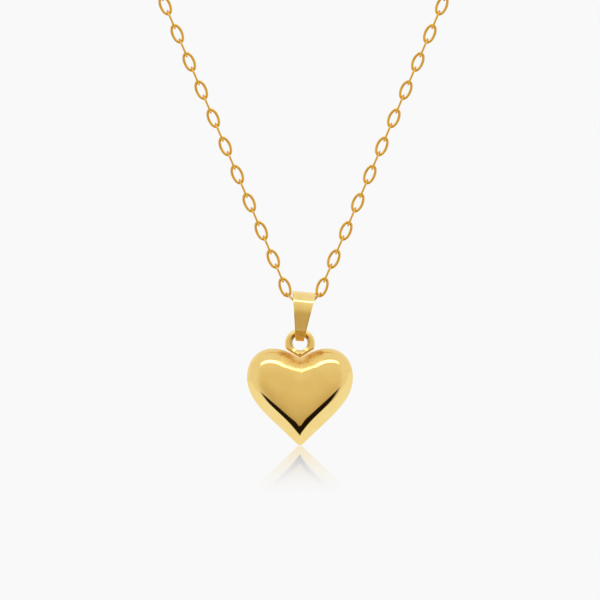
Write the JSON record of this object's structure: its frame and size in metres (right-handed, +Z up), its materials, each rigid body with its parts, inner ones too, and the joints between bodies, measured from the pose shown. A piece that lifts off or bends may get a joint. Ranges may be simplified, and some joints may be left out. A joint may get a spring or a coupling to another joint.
{
  "type": "pendant necklace",
  "caption": "Puffed heart pendant on a folded tapered bail, hanging from a fine oval cable chain with a lobster clasp at the nape.",
  "frame": {"origin": "middle of the line between the two points where the chain leaves the sides of the neck", "axes": "+Z up along the neck; -Y is the front, the way the heart faces; +X to the right as seen from the front"},
  "size_m": [0.114, 0.0492, 0.1713],
  "materials": {
    "pendant_gold": "mirror-polished yellow gold plate",
    "chain_gold": "bright-drawn yellow gold plate, a little deeper in tone than the pendant",
    "clasp_gold": "polished yellow gold plate",
    "spring_steel": "bright spring wire"
  },
  "bodies": {
    "back_chain": {"chain_back_left": "chain_gold", "chain_back_right": "chain_gold"},
    "front_chain": {"chain_upper_left": "chain_gold", "chain_upper_right": "chain_gold", "bail_link_left": "chain_gold", "bail_link_middle": "chain_gold", "bail_link_right": "chain_gold"},
    "bail": {"bail": "pendant_gold"},
    "heart": {"heart_front": "pendant_gold", "heart_back": "pendant_gold", "heart_loop": "pendant_gold"},
    "clasp": {"clasp_body": "clasp_gold", "clasp_pin": "clasp_gold", "clasp_spring": "spring_steel"},
    "trigger": {"clasp_trigger": "clasp_gold"},
    "jump_ring": {"clasp_jump_ring": "clasp_gold"},
    "end_ring": {"chain_end_ring": "clasp_gold"},
    "chain_link_left_01": {"chain_link_left_01": "chain_gold"},
    "chain_link_left_02": {"chain_link_left_02": "chain_gold"},
    "chain_link_left_03": {"chain_link_left_03": "chain_gold"},
    "chain_link_left_04": {"chain_link_left_04": "chain_gold"},
    "chain_link_left_05": {"chain_link_left_05": "chain_gold"},
    "chain_link_left_06": {"chain_link_left_06": "chain_gold"},
    "chain_link_left_07": {"chain_link_left_07": "chain_gold"},
    "chain_link_left_08": {"chain_link_left_08": "chain_gold"},
    "chain_link_left_09": {"chain_link_left_09": "chain_gold"},
    "chain_link_left_10": {"chain_link_left_10": "chain_gold"},
    "chain_link_left_11": {"chain_link_left_11": "chain_gold"},
    "chain_link_left_12": {"chain_link_left_12": "chain_gold"},
    "chain_link_left_13": {"chain_link_left_13": "chain_gold"},
    "chain_link_left_14": {"chain_link_left_14": "chain_gold"},
    "chain_link_left_15": {"chain_link_left_15": "chain_gold"},
    "chain_link_left_16": {"chain_link_left_16": "chain_gold"},
    "chain_link_left_17": {"chain_link_left_17": "chain_gold"},
    "chain_link_left_18": {"chain_link_left_18": "chain_gold"},
    "chain_link_left_19": {"chain_link_left_19": "chain_gold"},
    "chain_link_left_20": {"chain_link_left_20": "chain_gold"},
    "chain_link_left_21": {"chain_link_left_21": "chain_gold"},
    "chain_link_right_01": {"chain_link_right_01": "chain_gold"},
    "chain_link_right_02": {"chain_link_right_02": "chain_gold"},
    "chain_link_right_03": {"chain_link_right_03": "chain_gold"},
    "chain_link_right_04": {"chain_link_right_04": "chain_gold"},
    "chain_link_right_05": {"chain_link_right_05": "chain_gold"},
    "chain_link_right_06": {"chain_link_right_06": "chain_gold"},
    "chain_link_right_07": {"chain_link_right_07": "chain_gold"},
    "chain_link_right_08": {"chain_link_right_08": "chain_gold"},
    "chain_link_right_09": {"chain_link_right_09": "chain_gold"},
    "chain_link_right_10": {"chain_link_right_10": "chain_gold"},
    "chain_link_right_11": {"chain_link_right_11": "chain_gold"},
    "chain_link_right_12": {"chain_link_right_12": "chain_gold"},
    "chain_link_right_13": {"chain_link_right_13": "chain_gold"},
    "chain_link_right_14": {"chain_link_right_14": "chain_gold"},
    "chain_link_right_15": {"chain_link_right_15": "chain_gold"},
    "chain_link_right_16": {"chain_link_right_16": "chain_gold"},
    "chain_link_right_17": {"chain_link_right_17": "chain_gold"},
    "chain_link_right_18": {"chain_link_right_18": "chain_gold"},
    "chain_link_right_19": {"chain_link_right_19": "chain_gold"},
    "chain_link_right_20": {"chain_link_right_20": "chain_gold"},
    "chain_link_right_21": {"chain_link_right_21": "chain_gold"}
  },
  "joints": [
    {"name": "bail_swing", "type": "hinge", "parent": "front_chain", "child": "bail", "pos_m": [0, 0, -0.12572], "axis": [1, 0, 0], "range_deg": [-60, 60]},
    {"name": "clasp_trigger_press", "type": "hinge", "parent": "clasp", "child": "trigger", "pos_m": [-0.00105, 0.0445, 0.02315], "axis": [0, -1, 0], "range_deg": [0, 18], "stiffness_Nm_per_rad": 0.000004, "springref_deg": -20.05, "deforming": ["clasp_spring"]},
    {"name": "clasp_twist", "type": "hinge", "parent": "back_chain", "child": "clasp", "pos_m": [-0.0003, 0.0445, 0.024], "axis": [1, 0, 0], "range_deg": [-15, 15]},
    {"name": "front_swing", "type": "hinge", "parent": "back_chain", "child": "front_chain", "pos_m": [0, 0, 0], "axis": [1, 0, 0], "range_deg": [-60, 15]},
    {"name": "heart_swing", "type": "hinge", "parent": "bail", "child": "heart", "pos_m": [-0.0005, 0, -0.12914], "axis": [1, 0, 0], "range_deg": [-75, 75]},
    {"name": "jump_ring_twist", "type": "hinge", "parent": "back_chain", "child": "jump_ring", "pos_m": [-0.00525, 0.0445, 0.024], "axis": [1, 0, 0], "range_deg": [-10, 10]},
    {"name": "end_ring_twist", "type": "hinge", "parent": "back_chain", "child": "end_ring", "pos_m": [0.00485, 0.0445, 0.024], "axis": [1, 0, 0], "range_deg": [-10, 10]},
    {"name": "twist_left_01", "type": "hinge", "parent": "front_chain", "child": "chain_link_left_01", "pos_m": [-0.00264, 0, -0.12277], "axis": [-0.3453, 0, 0.9385], "range_deg": [-8.19, 8.19]},
    {"name": "twist_left_02", "type": "hinge", "parent": "front_chain", "child": "chain_link_left_02", "pos_m": [-0.00344, 0, -0.12076], "axis": [-0.3923, 0, 0.9198], "range_deg": [-16.37, 16.37]},
    {"name": "twist_left_03", "type": "hinge", "parent": "front_chain", "child": "chain_link_left_03", "pos_m": [-0.00429, 0, -0.11876], "axis": [-0.3923, 0, 0.9198], "range_deg": [-24.55, 24.55]},
    {"name": "twist_left_04", "type": "hinge", "parent": "front_chain", "child": "chain_link_left_04", "pos_m": [-0.00514, 0, -0.11677], "axis": [-0.3923, 0, 0.9198], "range_deg": [-32.73, 32.73]},
    {"name": "twist_left_05", "type": "hinge", "parent": "front_chain", "child": "chain_link_left_05", "pos_m": [-0.00599, 0, -0.11477], "axis": [-0.3923, 0, 0.9198], "range_deg": [-40.91, 40.91]},
    {"name": "twist_left_06", "type": "hinge", "parent": "front_chain", "child": "chain_link_left_06", "pos_m": [-0.00684, 0, -0.11278], "axis": [-0.3923, 0, 0.9198], "range_deg": [-49.1, 49.1]},
    {"name": "twist_left_07", "type": "hinge", "parent": "front_chain", "child": "chain_link_left_07", "pos_m": [-0.00769, 0, -0.11078], "axis": [-0.3923, 0, 0.9198], "range_deg": [-57.28, 57.28]},
    {"name": "twist_left_08", "type": "hinge", "parent": "front_chain", "child": "chain_link_left_08", "pos_m": [-0.00855, 0, -0.10878], "axis": [-0.3923, 0, 0.9198], "range_deg": [-65.46, 65.46]},
    {"name": "twist_left_09", "type": "hinge", "parent": "front_chain", "child": "chain_link_left_09", "pos_m": [-0.0094, 0, -0.10679], "axis": [-0.3923, 0, 0.9198], "range_deg": [-73.64, 73.64]},
    {"name": "twist_left_10", "type": "hinge", "parent": "front_chain", "child": "chain_link_left_10", "pos_m": [-0.01025, 0, -0.10479], "axis": [-0.3923, 0, 0.9198], "range_deg": [-81.82, 81.82]},
    {"name": "twist_left_11", "type": "hinge", "parent": "front_chain", "child": "chain_link_left_11", "pos_m": [-0.0111, 0, -0.10279], "axis": [-0.3923, 0, 0.9198], "range_deg": [-90, 90]},
    {"name": "twist_left_12", "type": "hinge", "parent": "front_chain", "child": "chain_link_left_12", "pos_m": [-0.01195, 0, -0.1008], "axis": [-0.3923, 0, 0.9198], "range_deg": [-81.82, 81.82]},
    {"name": "twist_left_13", "type": "hinge", "parent": "front_chain", "child": "chain_link_left_13", "pos_m": [-0.0128, 0, -0.0988], "axis": [-0.3923, 0, 0.9198], "range_deg": [-73.64, 73.64]},
    {"name": "twist_left_14", "type": "hinge", "parent": "front_chain", "child": "chain_link_left_14", "pos_m": [-0.01366, 0, -0.09681], "axis": [-0.3923, 0, 0.9198], "range_deg": [-65.46, 65.46]},
    {"name": "twist_left_15", "type": "hinge", "parent": "front_chain", "child": "chain_link_left_15", "pos_m": [-0.01451, 0, -0.09481], "axis": [-0.3923, 0, 0.9198], "range_deg": [-57.28, 57.28]},
    {"name": "twist_left_16", "type": "hinge", "parent": "front_chain", "child": "chain_link_left_16", "pos_m": [-0.01536, 0, -0.09281], "axis": [-0.3923, 0, 0.9198], "range_deg": [-49.1, 49.1]},
    {"name": "twist_left_17", "type": "hinge", "parent": "front_chain", "child": "chain_link_left_17", "pos_m": [-0.01621, 0, -0.09082], "axis": [-0.3923, 0, 0.9198], "range_deg": [-40.91, 40.91]},
    {"name": "twist_left_18", "type": "hinge", "parent": "front_chain", "child": "chain_link_left_18", "pos_m": [-0.01706, 0, -0.08882], "axis": [-0.3923, 0, 0.9198], "range_deg": [-32.73, 32.73]},
    {"name": "twist_left_19", "type": "hinge", "parent": "front_chain", "child": "chain_link_left_19", "pos_m": [-0.01791, 0, -0.08683], "axis": [-0.3923, 0, 0.9198], "range_deg": [-24.55, 24.55]},
    {"name": "twist_left_20", "type": "hinge", "parent": "front_chain", "child": "chain_link_left_20", "pos_m": [-0.01876, 0, -0.08483], "axis": [-0.3923, 0, 0.9198], "range_deg": [-16.37, 16.37]},
    {"name": "twist_left_21", "type": "hinge", "parent": "front_chain", "child": "chain_link_left_21", "pos_m": [-0.01961, 0, -0.08284], "axis": [-0.3923, 0, 0.9198], "range_deg": [-8.19, 8.19]},
    {"name": "twist_right_01", "type": "hinge", "parent": "front_chain", "child": "chain_link_right_01", "pos_m": [0.00264, 0, -0.12277], "axis": [0.3453, 0, 0.9385], "range_deg": [-8.19, 8.19]},
    {"name": "twist_right_02", "type": "hinge", "parent": "front_chain", "child": "chain_link_right_02", "pos_m": [0.00344, 0, -0.12076], "axis": [0.3923, 0, 0.9198], "range_deg": [-16.37, 16.37]},
    {"name": "twist_right_03", "type": "hinge", "parent": "front_chain", "child": "chain_link_right_03", "pos_m": [0.00429, 0, -0.11876], "axis": [0.3923, 0, 0.9198], "range_deg": [-24.55, 24.55]},
    {"name": "twist_right_04", "type": "hinge", "parent": "front_chain", "child": "chain_link_right_04", "pos_m": [0.00514, 0, -0.11677], "axis": [0.3923, 0, 0.9198], "range_deg": [-32.73, 32.73]},
    {"name": "twist_right_05", "type": "hinge", "parent": "front_chain", "child": "chain_link_right_05", "pos_m": [0.00599, 0, -0.11477], "axis": [0.3923, 0, 0.9198], "range_deg": [-40.91, 40.91]},
    {"name": "twist_right_06", "type": "hinge", "parent": "front_chain", "child": "chain_link_right_06", "pos_m": [0.00684, 0, -0.11278], "axis": [0.3923, 0, 0.9198], "range_deg": [-49.1, 49.1]},
    {"name": "twist_right_07", "type": "hinge", "parent": "front_chain", "child": "chain_link_right_07", "pos_m": [0.00769, 0, -0.11078], "axis": [0.3923, 0, 0.9198], "range_deg": [-57.28, 57.28]},
    {"name": "twist_right_08", "type": "hinge", "parent": "front_chain", "child": "chain_link_right_08", "pos_m": [0.00855, 0, -0.10878], "axis": [0.3923, 0, 0.9198], "range_deg": [-65.46, 65.46]},
    {"name": "twist_right_09", "type": "hinge", "parent": "front_chain", "child": "chain_link_right_09", "pos_m": [0.0094, 0, -0.10679], "axis": [0.3923, 0, 0.9198], "range_deg": [-73.64, 73.64]},
    {"name": "twist_right_10", "type": "hinge", "parent": "front_chain", "child": "chain_link_right_10", "pos_m": [0.01025, 0, -0.10479], "axis": [0.3923, 0, 0.9198], "range_deg": [-81.82, 81.82]},
    {"name": "twist_right_11", "type": "hinge", "parent": "front_chain", "child": "chain_link_right_11", "pos_m": [0.0111, 0, -0.10279], "axis": [0.3923, 0, 0.9198], "range_deg": [-90, 90]},
    {"name": "twist_right_12", "type": "hinge", "parent": "front_chain", "child": "chain_link_right_12", "pos_m": [0.01195, 0, -0.1008], "axis": [0.3923, 0, 0.9198], "range_deg": [-81.82, 81.82]},
    {"name": "twist_right_13", "type": "hinge", "parent": "front_chain", "child": "chain_link_right_13", "pos_m": [0.0128, 0, -0.0988], "axis": [0.3923, 0, 0.9198], "range_deg": [-73.64, 73.64]},
    {"name": "twist_right_14", "type": "hinge", "parent": "front_chain", "child": "chain_link_right_14", "pos_m": [0.01366, 0, -0.09681], "axis": [0.3923, 0, 0.9198], "range_deg": [-65.46, 65.46]},
    {"name": "twist_right_15", "type": "hinge", "parent": "front_chain", "child": "chain_link_right_15", "pos_m": [0.01451, 0, -0.09481], "axis": [0.3923, 0, 0.9198], "range_deg": [-57.28, 57.28]},
    {"name": "twist_right_16", "type": "hinge", "parent": "front_chain", "child": "chain_link_right_16", "pos_m": [0.01536, 0, -0.09281], "axis": [0.3923, 0, 0.9198], "range_deg": [-49.1, 49.1]},
    {"name": "twist_right_17", "type": "hinge", "parent": "front_chain", "child": "chain_link_right_17", "pos_m": [0.01621, 0, -0.09082], "axis": [0.3923, 0, 0.9198], "range_deg": [-40.91, 40.91]},
    {"name": "twist_right_18", "type": "hinge", "parent": "front_chain", "child": "chain_link_right_18", "pos_m": [0.01706, 0, -0.08882], "axis": [0.3923, 0, 0.9198], "range_deg": [-32.73, 32.73]},
    {"name": "twist_right_19", "type": "hinge", "parent": "front_chain", "child": "chain_link_right_19", "pos_m": [0.01791, 0, -0.08683], "axis": [0.3923, 0, 0.9198], "range_deg": [-24.55, 24.55]},
    {"name": "twist_right_20", "type": "hinge", "parent": "front_chain", "child": "chain_link_right_20", "pos_m": [0.01876, 0, -0.08483], "axis": [0.3923, 0, 0.9198], "range_deg": [-16.37, 16.37]},
    {"name": "twist_right_21", "type": "hinge", "parent": "front_chain", "child": "chain_link_right_21", "pos_m": [0.01961, 0, -0.08284], "axis": [0.3923, 0, 0.9198], "range_deg": [-8.19, 8.19]}
  ],
  "couplings": [
    {"joint": "twist_left_01", "follows": "twist_left_11", "ratio": 0.090909},
    {"joint": "twist_left_02", "follows": "twist_left_11", "ratio": 0.18182},
    {"joint": "twist_left_03", "follows": "twist_left_11", "ratio": 0.27273},
    {"joint": "twist_left_04", "follows": "twist_left_11", "ratio": 0.36364},
    {"joint": "twist_left_05", "follows": "twist_left_11", "ratio": 0.45454},
    {"joint": "twist_left_06", "follows": "twist_left_11", "ratio": 0.54546},
    {"joint": "twist_left_07", "follows": "twist_left_11", "ratio": 0.63636},
    {"joint": "twist_left_08", "follows": "twist_left_11", "ratio": 0.72727},
    {"joint": "twist_left_09", "follows": "twist_left_11", "ratio": 0.81818},
    {"joint": "twist_left_10", "follows": "twist_left_11", "ratio": 0.90909},
    {"joint": "twist_left_12", "follows": "twist_left_11", "ratio": 0.90909},
    {"joint": "twist_left_13", "follows": "twist_left_11", "ratio": 0.81818},
    {"joint": "twist_left_14", "follows": "twist_left_11", "ratio": 0.72727},
    {"joint": "twist_left_15", "follows": "twist_left_11", "ratio": 0.63636},
    {"joint": "twist_left_16", "follows": "twist_left_11", "ratio": 0.54546},
    {"joint": "twist_left_17", "follows": "twist_left_11", "ratio": 0.45454},
    {"joint": "twist_left_18", "follows": "twist_left_11", "ratio": 0.36364},
    {"joint": "twist_left_19", "follows": "twist_left_11", "ratio": 0.27273},
    {"joint": "twist_left_20", "follows": "twist_left_11", "ratio": 0.18182},
    {"joint": "twist_left_21", "follows": "twist_left_11", "ratio": 0.090909},
    {"joint": "twist_right_01", "follows": "twist_right_11", "ratio": 0.090909},
    {"joint": "twist_right_02", "follows": "twist_right_11", "ratio": 0.18182},
    {"joint": "twist_right_03", "follows": "twist_right_11", "ratio": 0.27273},
    {"joint": "twist_right_04", "follows": "twist_right_11", "ratio": 0.36364},
    {"joint": "twist_right_05", "follows": "twist_right_11", "ratio": 0.45454},
    {"joint": "twist_right_06", "follows": "twist_right_11", "ratio": 0.54546},
    {"joint": "twist_right_07", "follows": "twist_right_11", "ratio": 0.63636},
    {"joint": "twist_right_08", "follows": "twist_right_11", "ratio": 0.72727},
    {"joint": "twist_right_09", "follows": "twist_right_11", "ratio": 0.81818},
    {"joint": "twist_right_10", "follows": "twist_right_11", "ratio": 0.90909},
    {"joint": "twist_right_12", "follows": "twist_right_11", "ratio": 0.90909},
    {"joint": "twist_right_13", "follows": "twist_right_11", "ratio": 0.81818},
    {"joint": "twist_right_14", "follows": "twist_right_11", "ratio": 0.72727},
    {"joint": "twist_right_15", "follows": "twist_right_11", "ratio": 0.63636},
    {"joint": "twist_right_16", "follows": "twist_right_11", "ratio": 0.54546},
    {"joint": "twist_right_17", "follows": "twist_right_11", "ratio": 0.45454},
    {"joint": "twist_right_18", "follows": "twist_right_11", "ratio": 0.36364},
    {"joint": "twist_right_19", "follows": "twist_right_11", "ratio": 0.27273},
    {"joint": "twist_right_20", "follows": "twist_right_11", "ratio": 0.18182},
    {"joint": "twist_right_21", "follows": "twist_right_11", "ratio": 0.090909}
  ]
}
